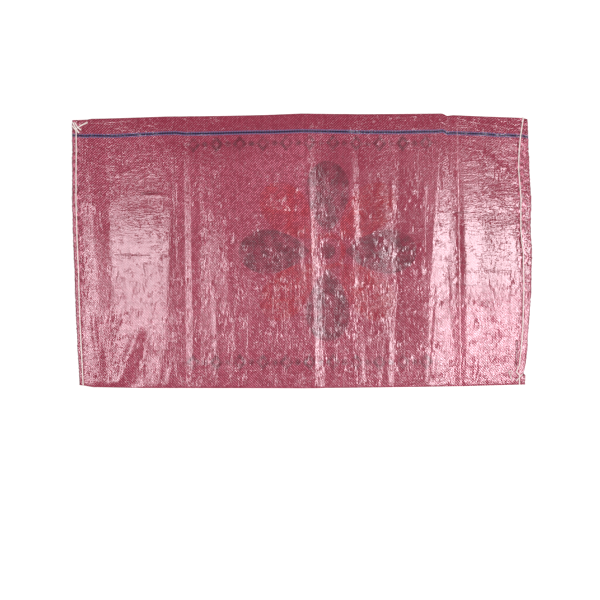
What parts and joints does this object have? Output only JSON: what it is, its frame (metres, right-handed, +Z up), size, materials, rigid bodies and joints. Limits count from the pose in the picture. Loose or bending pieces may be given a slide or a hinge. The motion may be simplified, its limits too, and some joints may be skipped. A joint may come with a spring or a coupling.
{
  "type": "woven polypropylene bag",
  "caption": "Flat empty sack of glossy woven tape cloth, sewn shut at one end, open at the other with a turned-in hem, and a marker stripe woven along one side.",
  "frame": {"origin": "middle of the bag's outline, on the surface that the bag lies on", "axes": "+X along the bag from the sewn bottom to the mouth, +Y across it towards the striped edge, +Z up from the surface"},
  "size_m": [0.7646, 0.458, 0.0075],
  "materials": {
    "filmed_tape_cloth": "raspberry woven polypropylene tapes under a glossy clear film, with a woven blue marker stripe",
    "sewing_thread": "off-white spun sewing thread"
  },
  "bodies": {
    "root": {"bag_cloth": "filmed_tape_cloth", "bottom_seam_thread": "sewing_thread", "mouth_hem_thread": "sewing_thread"}
  },
  "joints": []
}
